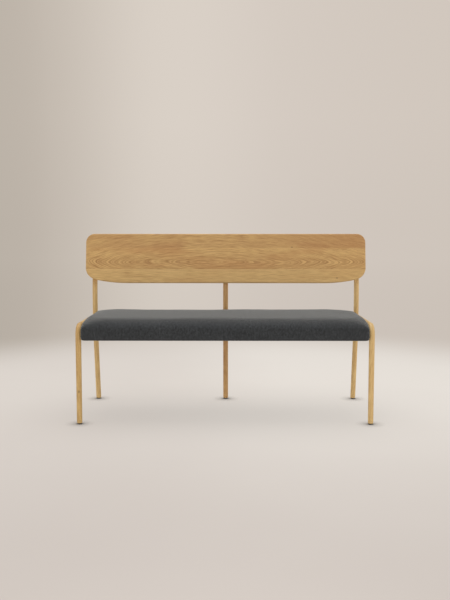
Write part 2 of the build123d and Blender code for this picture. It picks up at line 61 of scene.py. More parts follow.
def linear(code):
    """An sRGB hex colour as linear red, green, blue and alpha."""
    parts = [int(code[i:i + 2], 16) / 255 for i in (1, 3, 5)]
    return [c / 12.92 if c <= 0.04045 else ((c + 0.055) / 1.055) ** 2.4 for c in parts] + [1.0]


def fill(node, links):
    """Fills a node's inputs, by name or number, with values, sockets or other nodes."""
    for key, value in links.items():
        named = [s for s in node.inputs if s.name == key and s.enabled]
        socket = node.inputs[key] if isinstance(key, int) else named[0]
        if isinstance(value, bpy.types.Node):
            value = [s for s in value.outputs if s.enabled][0]
        if isinstance(value, bpy.types.NodeSocket):
            node.id_data.links.new(value, socket)
        else:
            socket.default_value = value


def add(tree, kind, links=None, **settings):
    """Adds one node with its settings, and fills its inputs."""
    node = tree.nodes.new(kind)
    for name, value in settings.items():
        setattr(node, name, value)
    fill(node, links or {})
    return node


def paint_ramp(ramp, *stops):
    """Sets a Color Ramp's stops, from its first to its last, as places and hex colours."""
    elements = ramp.color_ramp.elements
    for place, _ in stops[1:-1]:
        elements.new(place)
    for element, (place, code) in zip(elements, stops):
        element.position = place
        element.color = linear(code)


def new_material(name, roughness, ior=1.5, metallic=0.0):
    """A material, its node tree and its Principled shader."""
    material = bpy.data.materials.new(name)
    material.use_nodes = True
    shader = material.node_tree.nodes["Principled BSDF"]
    fill(shader, {"Roughness": roughness, "IOR": ior, "Metallic": metallic})
    return material, material.node_tree, shader


def surface(shader, colour, height, strength, depth):
    """Links a colour to a shader, and a height pattern as a relief so many metres deep."""
    bump = add(shader.id_data, "ShaderNodeBump", {
        "Height": height, "Strength": strength, "Distance": depth})
    fill(shader, {"Base Color": colour, "Normal": bump})


def dress(material, *names):
    """Gives CAD nodes their finished material."""
    for name in names:
        data = nodes[name].data
        data.materials.clear()
        data.materials.append(material)


def new_object(name, data):
    """Links new mesh data to the scene as an object at the origin."""
    made = bpy.data.objects.new(name, data)
    bpy.context.scene.collection.objects.link(made)
    return made


print("one hex colour:", [round(c, 3) for c in linear("#b79462")])

# %% [markdown]
# ## The camera
# The photograph was taken almost square to the bench, from just above the height of its backrest,
# tilted down by about five degrees. The lens, the place and the tilt were worked out from the
# feet, the posts and the edges of the backrest. They are plain numbers here.

# %% Camera
SEAT_EDGE = (0.0, -0.29, 0.42)
camera_data = bpy.data.cameras.new("camera")
camera_data.lens = 50.0
camera_data.sensor_width = 36.0
camera = new_object("camera", camera_data)
camera.location = (0.024, -3.8455, 0.881)
camera.rotation_euler = (math.radians(90 - 5.34), 0.0, math.radians(0.38))
bpy.context.scene.camera = camera
bpy.context.scene.view_settings.view_transform = "Standard"
print("camera", round(math.dist(camera.location, SEAT_EDGE), 2), "m from the seat's front edge")

# %% [markdown]
# ## The studio
# The bench stands on a pale warm floor that rises into a wall of the same tone, with no line
# between them. A curved backdrop would do it, but it would hide the bench from behind. So here
# the floor is one flat disc, and from about one and a half to three metres out its lit colour
# fades into the colour that the world shows to the camera. Only camera, glossy and see-through
# rays meet that colour; all other rays get the world's even light. The photograph's shadows are
# faint, so the floor is for the most part drawn in its own even tone with painted light on it,
# paler towards the back, and with a painted contact shadow close round each foot, where an
# Ambient Occlusion node finds the foot near.

# %% Floor and world
# The wall's tones of painted light from left to right, and how far they reach to each side
# of the middle.
WALL = ((0.0, "#bcb3a8"), (0.13, "#bfb5aa"), (0.34, "#dfd6cc"),
        (0.6, "#d3c9c0"), (1.0, "#d1c7bd"))
WALL_REACH = 0.28
# Painted light: the floor turns paler between two places along Y, and less so at the left.
FLOOR_FRONT, FLOOR_BACK = "#d0c7c0", "#e6e0d9"
PALER_FROM, PALER_TO = -2.4, 0.6
LEFT_PLACE, RIGHT_PLACE, LEFT_SHARE = -0.6, 0.5, 0.55
CLOUDS_PER_METRE, CLOUD_SHARE = 0.9, 0.3
FLOOR_RADIUS = 40.0
FADE_START, FADE_END = 1.55, 3.2
# How much of the real shadow is left out, the floor's own light on the bench, and the
# painted contact shadows round the feet.
SHADOW_LOSS, FLOOR_GLOW = 0.7, 0.16
CONTACT_SHADOW_REACH, CONTACT_SHADOW_FULL = 0.06, 0.6
# The far floor takes the wall's painted light by direction, and its level rises to the wall's:
# painted shade, deepest on the nearer floor, that lifts towards the wall.
WALL_SPREAD, WALL_DEPTH = 3.8, -0.9
FAR_START, FAR_END = 2.5, 16.0
FLOOR_LEVEL, HORIZON_LEVEL, WALL_LEVEL, WALL_RISE = 0.93, 0.97, 1.0, 0.12
AIR_STRENGTH = 0.7


def painted_wall_light(tree, direction):
    """The backdrop's painted light across the view, a little darker to the left."""
    across = add(tree, "ShaderNodeSeparateXYZ", {0: direction})
    ramp = add(tree, "ShaderNodeValToRGB", {"Fac": add(tree, "ShaderNodeMapRange", {
        "Value": across, "From Min": -WALL_REACH, "From Max": WALL_REACH})})
    ramp.color_ramp.interpolation = "B_SPLINE"
    paint_ramp(ramp, *WALL)
    return ramp


def seen_directly(tree):
    """One for camera, glossy and see-through rays, and zero for the rest."""
    rays = add(tree, "ShaderNodeLightPath")
    both = add(tree, "ShaderNodeMath", {
        0: rays.outputs["Is Camera Ray"], 1: rays.outputs["Is Glossy Ray"]}, operation="MAXIMUM")
    return add(tree, "ShaderNodeMath", {
        0: both, 1: rays.outputs["Is Transmission Ray"]}, operation="MAXIMUM")


floor_material = bpy.data.materials.new("studio_floor_paint")
floor_material.use_nodes = True
tree = floor_material.node_tree
tree.nodes.clear()
here = add(tree, "ShaderNodeTexCoord").outputs["Object"]
# Painted light on the floor: soft clouds, paler towards the back and less so at the left.
clouds = add(tree, "ShaderNodeTexNoise", {
    "Vector": here, "Scale": CLOUDS_PER_METRE, "Detail": 4.0})
place = add(tree, "ShaderNodeSeparateXYZ", {0: here})
back = add(tree, "ShaderNodeMapRange", {
    "Value": place.outputs[1], "From Min": PALER_FROM, "From Max": PALER_TO},
    interpolation_type="SMOOTHSTEP")
right = add(tree, "ShaderNodeMapRange", {
    "Value": place.outputs[0], "From Min": LEFT_PLACE, "From Max": RIGHT_PLACE,
    "To Min": LEFT_SHARE}, interpolation_type="SMOOTHSTEP")
back = add(tree, "ShaderNodeMath", {0: back, 1: right}, operation="MULTIPLY")
back = add(tree, "ShaderNodeMath", {0: clouds, 1: CLOUD_SHARE, 2: back}, operation="MULTIPLY_ADD")
back = add(tree, "ShaderNodeMath", {
    0: back, 1: CLOUD_SHARE / 2}, operation="SUBTRACT", use_clamp=True)
paint = add(tree, "ShaderNodeMix", {
    "Factor": back, "A": linear(FLOOR_FRONT), "B": linear(FLOOR_BACK)}, data_type="RGBA")
lit = add(tree, "ShaderNodeBsdfDiffuse", {"Color": paint})
away = add(tree, "ShaderNodeVectorMath", {0: here}, operation="LENGTH").outputs["Value"]
depth = add(tree, "ShaderNodeMath", {0: place.outputs[1]}, operation="ABSOLUTE")
depth = add(tree, "ShaderNodeMath", {0: depth, 1: WALL_SPREAD}, operation="ADD")
around = add(tree, "ShaderNodeCombineXYZ", {0: place, 1: depth, 2: WALL_DEPTH})
around = add(tree, "ShaderNodeVectorMath", {0: around}, operation="NORMALIZE")
flat = add(tree, "ShaderNodeEmission", {
    "Color": painted_wall_light(tree, around), "Strength": add(tree, "ShaderNodeMapRange", {
        "Value": away, "From Min": FAR_START, "From Max": FAR_END,
        "To Min": FLOOR_LEVEL, "To Max": HORIZON_LEVEL})})
fade = add(tree, "ShaderNodeMapRange", {
    "Value": away, "From Min": FADE_START, "From Max": FADE_END},
    interpolation_type="SMOOTHERSTEP")
# A painted contact shadow: the floor's even tone darkens where Ambient Occlusion finds a foot
# near.
near = add(tree, "ShaderNodeAmbientOcclusion", {"Distance": CONTACT_SHADOW_REACH}, samples=8)
painted_contact_shadow = add(tree, "ShaderNodeMapRange", {"Value": near.outputs["AO"], "From Min": CONTACT_SHADOW_FULL})
level_paint = add(tree, "ShaderNodeEmission", {"Color": paint, "Strength": painted_contact_shadow})
shown = add(tree, "ShaderNodeMixShader", {0: SHADOW_LOSS, 1: lit, 2: level_paint})
mixed = add(tree, "ShaderNodeMixShader", {0: fade, 1: shown, 2: flat})
glow = add(tree, "ShaderNodeEmission", {"Color": linear("#fff8f0"), "Strength": FLOOR_GLOW})
giving = add(tree, "ShaderNodeAddShader", {0: lit, 1: glow})
seen = add(tree, "ShaderNodeMixShader", {0: seen_directly(tree), 1: giving, 2: mixed})
add(tree, "ShaderNodeOutputMaterial", {"Surface": seen})

floor_form = bmesh.new()
bmesh.ops.create_circle(floor_form, cap_ends=True, radius=FLOOR_RADIUS, segments=96)
floor_mesh = bpy.data.meshes.new("studio_floor")
floor_form.to_mesh(floor_mesh)
floor_form.free()
floor_mesh.materials.append(floor_material)
new_object("studio_floor", floor_mesh)

world = bpy.data.worlds.new("studio_air")
bpy.context.scene.world = world
world.use_nodes = True
tree = world.node_tree
tree.nodes.clear()
direction = add(tree, "ShaderNodeTexCoord").outputs["Generated"]
height = add(tree, "ShaderNodeSeparateXYZ", {0: direction}).outputs[2]
wall = add(tree, "ShaderNodeBackground", {
    "Color": painted_wall_light(tree, direction), "Strength": add(tree, "ShaderNodeMapRange", {
        "Value": height, "From Min": 0.0, "From Max": WALL_RISE,
        "To Min": HORIZON_LEVEL, "To Max": WALL_LEVEL})})
air = add(tree, "ShaderNodeBackground", {"Color": linear("#fffdfa"), "Strength": AIR_STRENGTH})
shown = add(tree, "ShaderNodeMixShader", {0: seen_directly(tree), 1: air, 2: wall})
add(tree, "ShaderNodeOutputWorld", {"Surface": shown})
print("floor", FLOOR_RADIUS * 2, "m across")

# %% [markdown]
# The light comes from a large softbox overhead, above the bench's back, with a weaker one at each
# side and a low one in front that reaches the rear legs. A large lamp close by gives soft, short
# shadows. The top of the seat is then the brightest fabric, the tops of the rails catch a light
# line, and the underside of each edge goes darker.

# %% Lamps
# Name, place and aim in metres, size in metres, and power in watts.
LAMPS = (
    ("softbox_overhead", (0.0, 0.35, 2.7), (0.0, 0.1, 0.0), 2.4, 31.0),
    ("softbox_left", (-3.2, -0.9, 0.9), (0.0, 0.1, 0.3), 2.0, 7.0),
    ("softbox_right", (3.2, -0.9, 0.9), (0.0, 0.1, 0.3), 2.0, 10.5),
    ("softbox_low", (0.0, -2.6, 0.2), (0.0, 0.3, 0.1), 1.0, 9.0),
)
for name, place, aim, size, power in LAMPS:
    lamp = bpy.data.lights.new(name, "AREA")
    lamp.shape = "SQUARE"
    lamp.size = size
    lamp.energy = power
    lamp_object = new_object(name, lamp)
    lamp_object.location = place
    lamp_object.rotation_euler = (Vector(place) - Vector(aim)).to_track_quat("Z", "Y").to_euler()
    print(name, power, "W")

# %% [markdown]
# ## Wood
# The legs, rails and backrest are solid oak with a thin matt oil. Sawn wood shows three things
# at once: the yearly rings, which are rings only in the log and become long arches on a board's
# face; the fibres, fine streaks along the grain; and the pores, short dark dashes in the early
# wood. All three are one pattern in space. The distance from the log's pith, read at each point
# of the surface, gives the rings, so the pattern turns the corners of a board by itself, which a
# flat picture of wood would not. The same function makes pine and beech for the seat's frame,
# with other rings and fewer pores.

# %% Wood as a solid pattern
# Each mark's length and width in millimetres, and how many finer layers it has.
LONG_WAVE, SHORT_WAVE = (420, 110, 2.0), (75, 24, 3.0)
LINE, BAND = (50, 2.3, 3.0), (190, 8, 2.0)
FIBRE, PORE = (40, 1.1, 3.0), (7, 0.32, 1.0)
WARM_CLOUD = (330, 55, 1.0)
# The dark a wood starts from, and how much each kind of mark adds to it.
LEAST_TONE = 0.22
LINE_SHARE, BAND_SHARE, FIBRE_SHARE = 1.95, 0.85, 0.5
PORE_FROM, PORE_FULL, PORE_BROWN = 0.56, 0.64, "#5f4426"
WARM_FROM, WARM_FULL, WARM_SHARE = 0.5, 0.72, 0.4
RED_FROM, RED_FULL = 0.1, 0.6
# A knot is longer along the grain; its core is this share of it, and so much of it turns brown.
KNOT_STRETCH, KNOT_CORE, KNOT_SHARE = 0.6, 0.4, 0.6
GRAIN_DEPTH = 0.12 * MM


def streaks(tree, place, length, width, detail):
    """Noise drawn out along the grain; its marks are so long and wide in millimetres."""
    drawn = add(tree, "ShaderNodeVectorMath", {
        0: place, 1: (1 / (length * MM), 1 / (width * MM), 1 / (width * MM))},
        operation="MULTIPLY")
    return add(tree, "ShaderNodeTexNoise", {"Vector": drawn, "Scale": 1.0, "Detail": detail})


def wood(name, place_of, light, dark, warm, *, ring, pith, drift, sway, flame, bow=0.0,
         ring_share=0.4, pore_share=0.6, roughness=0.5, red_end=0.0, knots=(), paler=None):
    """Sawn wood; place_of(tree) gives the point in the log, with the grain along its first axis.

    Sizes are in millimetres: ring is a year's growth, pith the log's centre beside the piece,
    sway and flame how far the rings wander in long and in short waves. drift tilts the log and
    bow bends it. red_end is how much redder the wood gets to the right, and a knot is its place
    along and up the piece and its radius. paler is where across the piece the wood starts to turn
    paler, where it has turned, and by how much; below zero it turns darker.
    """
    material, tree, shader = new_material(name, roughness)
    place = place_of(tree)
    long_wave = streaks(tree, place, *LONG_WAVE)
    short_wave = streaks(tree, place, *SHORT_WAVE)
    parts = add(tree, "ShaderNodeSeparateXYZ", {0: place})
    squared = add(tree, "ShaderNodeMath", {0: parts, 1: 2.0}, operation="POWER")
    offset = add(tree, "ShaderNodeVectorMath", {
        0: place, 1: (0.0, pith[0] * MM, pith[1] * MM)}, operation="SUBTRACT")
    across = add(tree, "ShaderNodeVectorMath", {
        0: offset, 1: (0.0, 1.0, 1.0)}, operation="MULTIPLY")
    grown = add(tree, "ShaderNodeVectorMath", {0: across}, operation="LENGTH").outputs["Value"]
    for wave, amount in (
        (parts, drift), (squared, bow), (long_wave, sway * MM), (short_wave, flame * MM),
    ):
        grown = add(tree, "ShaderNodeMath", {
            0: wave, 1: amount, 2: grown}, operation="MULTIPLY_ADD")
    years = add(tree, "ShaderNodeMath", {0: grown, 1: ring * MM}, operation="DIVIDE")
    year = add(tree, "ShaderNodeMath", {0: years}, operation="FRACT")
    which = add(tree, "ShaderNodeMath", {0: years}, operation="FLOOR")
    season = add(tree, "ShaderNodeValToRGB", {"Fac": year})
    paint_ramp(season, (0.0, "#ffffff"), (0.16, "#d8d8d8"), (0.42, "#000000"))
    luck = add(tree, "ShaderNodeTexWhiteNoise", {"W": which}, noise_dimensions="1D")
    growth = add(tree, "ShaderNodeMath", {
        0: luck.outputs["Value"], 1: 0.7, 2: 0.3}, operation="MULTIPLY_ADD")
    early = add(tree, "ShaderNodeMath", {0: season, 1: growth}, operation="MULTIPLY")
    in_rings = add(tree, "ShaderNodeCombineXYZ", {0: parts, 1: grown})
    line = streaks(tree, in_rings, *LINE)
    band = streaks(tree, in_rings, *BAND)
    fibre = streaks(tree, place, *FIBRE)
    pore = add(tree, "ShaderNodeMapRange", {
        "Value": streaks(tree, place, *PORE), "From Min": PORE_FROM, "From Max": PORE_FULL})
    pore = add(tree, "ShaderNodeMath", {0: pore, 1: early}, operation="MULTIPLY")
    tone = add(tree, "ShaderNodeMath", {
        0: early, 1: ring_share, 2: LEAST_TONE}, operation="MULTIPLY_ADD")
    for mark, share in ((line, LINE_SHARE), (band, BAND_SHARE), (fibre, FIBRE_SHARE)):
        centred = add(tree, "ShaderNodeMath", {0: mark, 1: 0.5}, operation="SUBTRACT")
        tone = add(tree, "ShaderNodeMath", {
            0: centred, 1: share, 2: tone}, operation="MULTIPLY_ADD")
    if paler:
        sapwood = add(tree, "ShaderNodeMapRange", {
            "Value": parts.outputs[1], "From Min": paler[0] * MM, "From Max": paler[1] * MM,
            "To Max": paler[2]})
        tone = add(tree, "ShaderNodeMath", {0: tone, 1: sapwood}, operation="SUBTRACT")
    tone = add(tree, "ShaderNodeClamp", {0: tone})
    base = add(tree, "ShaderNodeMix", {
        "Factor": tone, "A": linear(light), "B": linear(dark)}, data_type="RGBA")
    glow = add(tree, "ShaderNodeMapRange", {
        "Value": streaks(tree, place, *WARM_CLOUD),
        "From Min": WARM_FROM, "From Max": WARM_FULL, "To Max": WARM_SHARE})
    if red_end:
        redder = add(tree, "ShaderNodeMapRange", {
            "Value": parts, "From Min": RED_FROM, "From Max": RED_FULL, "To Max": red_end})
        glow = add(tree, "ShaderNodeMath", {0: glow, 1: redder}, operation="MAXIMUM")
    base = add(tree, "ShaderNodeMix", {
        "Factor": glow, "A": base, "B": linear(warm)}, data_type="RGBA")
    depth = add(tree, "ShaderNodeMath", {0: pore, 1: pore_share}, operation="MULTIPLY")
    for along, up, radius in knots:
        away = add(tree, "ShaderNodeVectorMath", {
            0: place, 1: (along * MM, up * MM, 0.0)}, operation="SUBTRACT")
        away = add(tree, "ShaderNodeVectorMath", {
            0: away, 1: (KNOT_STRETCH, 1.0, 0.0)}, operation="MULTIPLY")
        away = add(tree, "ShaderNodeVectorMath", {0: away}, operation="LENGTH")
        knot = add(tree, "ShaderNodeMapRange", {
            "Value": away.outputs["Value"], "From Min": radius * MM,
            "From Max": radius * KNOT_CORE * MM, "To Max": KNOT_SHARE})
        depth = add(tree, "ShaderNodeMath", {0: depth, 1: knot}, operation="MAXIMUM")
    base = add(tree, "ShaderNodeMix", {
        "Factor": depth, "A": base, "B": linear(PORE_BROWN)}, data_type="RGBA")
    gloss = add(tree, "ShaderNodeMapRange", {
        "Value": fibre, "From Min": 0.3, "From Max": 0.7,
        "To Min": roughness - 0.07, "To Max": roughness + 0.1})
    fill(shader, {"Roughness": gloss})
    relief = add(tree, "ShaderNodeMath", {0: fibre, 1: 0.35}, operation="MULTIPLY")
    relief = add(tree, "ShaderNodeMath", {0: relief, 1: depth}, operation="SUBTRACT")
    surface(shader, base, relief, 0.5, GRAIN_DEPTH)
    return material


print("a wood's marks: rings, fibres and pores")

# %% [markdown]
# ### The backrest
# Three oak staves are glued edge to edge. The upper two were sawn from one bowed log, close
# beside its pith: the rings run out at both ends, in a wavy flame that rises from the left and in
# arches with their tips to the right. The top one turns redder towards the right, and the middle
# one a little darker towards its lower edge. The bottom one is straight-grained, and palest along
# the seam above it. Two specks are small knots.
# The grain runs level while the board leans back, so the pattern is read in the board's own
# plane: a Mapping node of the Texture kind takes the lean out.

# %% Backrest staves
LEAN = math.radians(9.8)
BOARD_ORIGIN = (0.0, 212.9 * MM, 600.6 * MM)
BOWED_LOG = dict(ring=5.0, pith=(84.0, 16.0), drift=0.02, bow=0.21, sway=36.0, flame=7.0,
                 knots=((322, 156, 4),))


def in_the_board(shift):
    """Points in the leaning board's plane: along it, up it and out of its face."""
    def place_of(tree):
        lying = add(tree, "ShaderNodeMapping", {
            "Vector": add(tree, "ShaderNodeTexCoord").outputs["Object"],
            "Location": BOARD_ORIGIN, "Rotation": (math.pi / 2 - LEAN, 0.0, 0.0)},
            vector_type="TEXTURE")
        return add(tree, "ShaderNodeVectorMath", {
            0: lying, 1: (shift * MM, 0.0, 0.0)}, operation="ADD")
    return place_of


oak_middle = wood("oiled_oak_arched", in_the_board(0), "#d6af71", "#9c6d3a", "#b47d48",
                  paler=(125, 98, -0.13), **BOWED_LOG)
oak_top = wood("oiled_oak_reddish", in_the_board(0), "#cfa86c", "#976838", "#a66e3f",
               red_end=0.4, **BOWED_LOG)
oak_bottom = wood("oiled_oak_straight", in_the_board(5100), "#d7b376", "#a67b43", "#b6854c",
                  ring=2.0, pith=(-260.0, 30.0), drift=0.015, sway=7.0, flame=1.0,
                  knots=((5639, 6, 4),), paler=(34, 48, 0.18))
dress(oak_middle, "backrest_middle_stave")
dress(oak_top, "backrest_top_stave")
dress(oak_bottom, "backrest_bottom_stave")
print("staves:", [name for name in nodes if "stave" in name])

# %% [markdown]
# ### Bent legs and rails
# The legs and side rails are round oak bars bent to shape, so their grain follows the bend. A
# pattern read from the point's place in space would cut straight through it. Instead each bar
# gets a copy of its mesh with one more value per corner point, "grain": how far along the bar's
# centre line the point is, and where it lies in the bar's cross-section. The centre line is
# walked in short steps, as a turtle draws: so far straight on, then so many degrees round a
# radius. The post in the middle is drawn darker and redder, and the left front leg yellower,
# with one small knot.

# %% Grain along a bent bar
STEP = 4 * MM


def walk(start, heading, moves):
    """Points (along +Y, up) of a line; a move is a length, or a radius and a turn in degrees."""
    points = [Vector(start)]
    angle = math.radians(heading)
    for move in moves:
        turn = math.radians(move[1]) if len(move) > 1 else 0.0
        length = move[0] * abs(turn) if turn else move[0]
        count = max(1, round(length / STEP))
        for _ in range(count):
            angle += turn / count / 2
            ahead = Vector((math.cos(angle), math.sin(angle)))
            points.append(points[-1] + ahead * length / count)
            angle += turn / count / 2
    return points


def grain_of(point, line, axis_x):
    """A point's distance along the line, and its two offsets from it."""
    spot = Vector((point.y, point.z))
    best = min(range(len(line) - 1),
               key=lambda i: ((line[i] + line[i + 1]) / 2 - spot).length_squared)
    run = line[best + 1] - line[best]
    ahead = run.normalized()
    along = (spot - line[best]).dot(ahead)
    side = ahead.x * (spot.y - line[best].y) - ahead.y * (spot.x - line[best].x)
    return (best * STEP + along, point.x - axis_x, side)


def bent_bar(node, line, axis_x, material, shift):
    """A copy of a bar that knows its grain, in place of the CAD node."""
    data = nodes[node].data.copy()
    grain = data.attributes.new("grain", "FLOAT_VECTOR", "POINT")
    for vertex in data.vertices:
        along, across, side = grain_of(vertex.co, line, axis_x)
        grain.data[vertex.index].vector = (along + shift, across, side)
    data.materials.clear()
    data.materials.append(material)
    bar = new_object(node + "_oak", data)
    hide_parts(node)
    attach(bar, "root")


def along_the_bar(tree):
    """Points along a bent bar, as its corner points store them."""
    return add(tree, "ShaderNodeAttribute", attribute_name="grain").outputs["Vector"]


BENT_LOG = dict(ring=2.1, drift=0.006, sway=5.0, flame=0.9)
oak_bar = wood("oiled_oak_bent", along_the_bar, "#ddbc80", "#b0884c", "#c29055",
               pith=(-34.0, 21.0), **BENT_LOG)
oak_red = wood("oiled_oak_bent_reddish", along_the_bar, "#d2a76d", "#a87542", "#b57b46",
               pith=(-20.0, 33.0), **BENT_LOG)
oak_honey = wood("oiled_oak_bent_honey", along_the_bar, "#d3b071", "#a57d42", "#b5844a",
                 pith=(-34.0, 21.0), knots=((140, 1, 5),), **BENT_LOG)
LEG_X = 637.5 * MM
LOG_SHIFT = 1.7  # metres further along the log for each bar, so that no two look alike
# In front straight up, round the bend and back along the rail; at the rear up the raked foot,
# the upright and the leaning top.
front_line = walk((-258.5 * MM, 5 * MM), 90, [(383 * MM,), (42 * MM, -90.9), (480 * MM,)])
rear_line = walk((276.3 * MM, 5 * MM), 100.8, [
    (345.1 * MM,), (300 * MM, -10.8), (123.8 * MM,), (450 * MM, -9.8), (210 * MM,)])
BARS = (
    ("front_leg_left", front_line, -LEG_X, oak_honey),
    ("front_leg_right", front_line, LEG_X, oak_bar),
    ("side_rail_left", front_line, -LEG_X, oak_bar),
    ("side_rail_right", front_line, LEG_X, oak_bar),
    ("rear_leg_left", rear_line, -LEG_X, oak_bar),
    ("rear_leg_center", rear_line, 0.0, oak_red),
    ("rear_leg_right", rear_line, LEG_X, oak_bar),
)
for number, (node, line, axis_x, oak) in enumerate(BARS):
    bent_bar(node, line, axis_x, oak, LOG_SHIFT * number)
print("rear post's top at", rear_line[-1])

# %% [markdown]
# ## The seat
# The seat is foam on a plywood deck, covered in one piece of charcoal wool cloth that is pulled
# tight over the edges and stapled underneath. The plain form is stacked from rounded outlines:
# upright walls, a roll all round that is long and flat at the front and short at the ends, and a
# low crown. Then it is made soft: an even mesh of small squares goes over the form, and Blender's
# cloth solver blows it up a little from inside, as the foam does, while the lower walls stay held
# by the frame.

# %% The seat's plain form
SEAT_HALF = 624.4 * MM
SEAT_FRONT, SEAT_REAR = -288.5 * MM, 192.8 * MM
SEAT_LOW, SEAT_HIGH = 370.0 * MM, 466.0 * MM
CORNER, UPPER_CORNER = 14 * MM, 88 * MM
ROLL_DEPTHS = (22 * MM, 110 * MM, 34 * MM)
ROLL_HEIGHTS = (22 * MM, 40 * MM, 25 * MM)
END_REACH, REAR_REACH = 80 * MM, 65 * MM
CROWN, LOWER_ROUND = 5 * MM, 6 * MM
CORNER_STEPS, ROLL_STEPS = 12, 18
CROWN_SHARES = (0.0, 0.1, 0.2, 0.3, 0.4, 0.5, 0.6, 0.7, 0.8, 0.9, 0.97)


def outline(height, end, front, rear, corner):
    """A rounded rectangle at one height, drawn in by these insets."""
    half = SEAT_HALF - end
    low, high = SEAT_FRONT + front, SEAT_REAR - rear
    points = []
    for cx, cy, turn in (
        (half - corner, low + corner, -90), (half - corner, high - corner, 0),
        (corner - half, high - corner, 90), (corner - half, low + corner, 180),
    ):
        for i in range(CORNER_STEPS + 1):
            angle = math.radians(turn + 90 * i / CORNER_STEPS)
            points.append((cx + corner * math.cos(angle), cy + corner * math.sin(angle), height))
    return points


def seat_outlines():
    """The stack of outlines from the hem to the crown."""
    roll_top = SEAT_HIGH - CROWN
    stack = []
    for turn in (0, 30, 60, 90):
        draw = LOWER_ROUND * (1 - math.sin(math.radians(turn)))
        height = SEAT_LOW + LOWER_ROUND * (1 - math.cos(math.radians(turn)))
        stack.append(outline(height, draw, draw, draw, CORNER - draw))
    for step in range(ROLL_STEPS):
        rise = math.sin(math.pi / 2 * step / ROLL_STEPS)
        height = roll_top - max(ROLL_HEIGHTS) * (1 - rise)
        insets = []
        for roll_depth, roll_height in zip(ROLL_DEPTHS, ROLL_HEIGHTS):
            above = max(0.0, height - roll_top + roll_height) / roll_height
            insets.append(roll_depth * (1 - math.sqrt(1 - above ** 2)))
        stack.append(outline(height, *insets, CORNER + (UPPER_CORNER - CORNER) * rise))
    flat = SEAT_REAR - SEAT_FRONT - ROLL_DEPTHS[1] - ROLL_DEPTHS[2]
    reaches = (END_REACH, flat - REAR_REACH, REAR_REACH)
    for share in CROWN_SHARES:
        height = roll_top + CROWN * (1 - (1 - share) ** 2)
        corner = min(UPPER_CORNER, flat / 2 * (1 - share) * 0.9)
        insets = [depth + reach * share for depth, reach in zip(ROLL_DEPTHS, reaches)]
        stack.append(outline(height, *insets, corner))
    return stack


def stacked(name, stack):
    """A closed mesh from outlines with the same number of points."""
    form = bmesh.new()
    rings = [[form.verts.new(point) for point in ring] for ring in stack]
    count = len(rings[0])
    for low, high in zip(rings, rings[1:]):
        for i in range(count):
            j = (i + 1) % count
            form.faces.new((low[i], low[j], high[j], high[i]))
    form.faces.new(rings[0][::-1])
    form.faces.new(rings[-1])
    data = bpy.data.meshes.new(name)
    form.to_mesh(data)
    form.free()
    return data


seat = new_object("seat_pad", stacked("seat_pad", seat_outlines()))
plain_form = new_object("seat_plain_form", seat.data.copy())
print("outlines:", len(seat_outlines()), "points:", len(seat.data.vertices))

# %% [markdown]
# The voxel remesh gives squares of one size, which a cloth needs, but it makes the form a little
# smaller, so a Shrinkwrap pulls the squares back onto the plain form. The walls up to the deck's
# height are held by a vertex group; above it the cloth is free. Gravity is off, because the foam
# carries the cloth. The solver pulls the rolls in and lifts the top, as a taut cover does, only
# too far for firm foam. So after twenty frames a third of each point's way is kept, with a cap,
# and the seat stays between its side rails.

# %% Soften the seat
VOXEL = 8 * MM
HELD_BELOW, FREE_ABOVE = 416 * MM, 444 * MM
FRAMES, KEPT_SHARE = 20, 0.33
WALL_CAP, TOP_CAP = 0.4 * MM, 2.0 * MM


def baked(piece):
    """The piece's mesh with its modifiers worked in."""
    graph = bpy.context.evaluated_depsgraph_get()
    return bpy.data.meshes.new_from_object(piece.evaluated_get(graph))


def freedom(height):
    """From zero at the held walls to one on the top."""
    share = min(1.0, max(0.0, (height - HELD_BELOW) / (FREE_ABOVE - HELD_BELOW)))
    return share * share * (3 - 2 * share)


even = seat.modifiers.new("even_squares", "REMESH")
even.mode = "VOXEL"
even.voxel_size = VOXEL
hug = seat.modifiers.new("back_to_size", "SHRINKWRAP")
hug.target = plain_form
seat.data = baked(seat)
seat.modifiers.clear()
bpy.data.objects.remove(plain_form)
rest = [vertex.co.copy() for vertex in seat.data.vertices]
print("squares:", len(seat.data.polygons))

held = seat.vertex_groups.new(name="held")
for vertex in seat.data.vertices:
    held.add([vertex.index], 1 - freedom(vertex.co.z), "REPLACE")
cloth = seat.modifiers.new("wool_over_foam", "CLOTH")
cloth.settings.quality = 5
cloth.settings.use_pressure = True
cloth.settings.uniform_pressure_force = 4.0
cloth.settings.vertex_group_mass = "held"
cloth.settings.effector_weights.gravity = 0.0
cloth.collision_settings.use_collision = False
for number in range(1, FRAMES + 1):
    bpy.context.scene.frame_set(number)
swollen = baked(seat)
seat.modifiers.clear()
moved = 0.0
for vertex, start in zip(seat.data.vertices, rest):
    step = (swollen.vertices[vertex.index].co - start) * KEPT_SHARE
    cap = WALL_CAP + (TOP_CAP - WALL_CAP) * freedom(start.z)
    if step.length > cap:
        step = step * cap / step.length
    vertex.co = start + step
    moved = max(moved, step.length)
bpy.data.meshes.remove(swollen)
bpy.context.scene.frame_set(1)
print("the cloth moved by up to", round(moved / MM, 2), "mm")

# %% [markdown]
# Foam and cloth are never quite even. Slow waves, as long as a hand and about a millimetre high,
# are added on the top, and fine upright pulls where the cloth was drawn over the front edge. At
# the rear the pad is a little fuller towards both ends, and has sunk at the right-hand corner.
# Then one subdivision rounds the squares off.

# %% Waves of the covering
WAVE_LENGTH, WAVE_WIDTH, WAVE_HEIGHT = 190 * MM, 160 * MM, 1.5 * MM
PULL_WIDTH, PULL_LENGTH, PULL_CHANGE, PULL_HEIGHT = 35 * MM, 90 * MM, 300 * MM, 0.35 * MM
SIDE_ROOM = 0.2 * MM
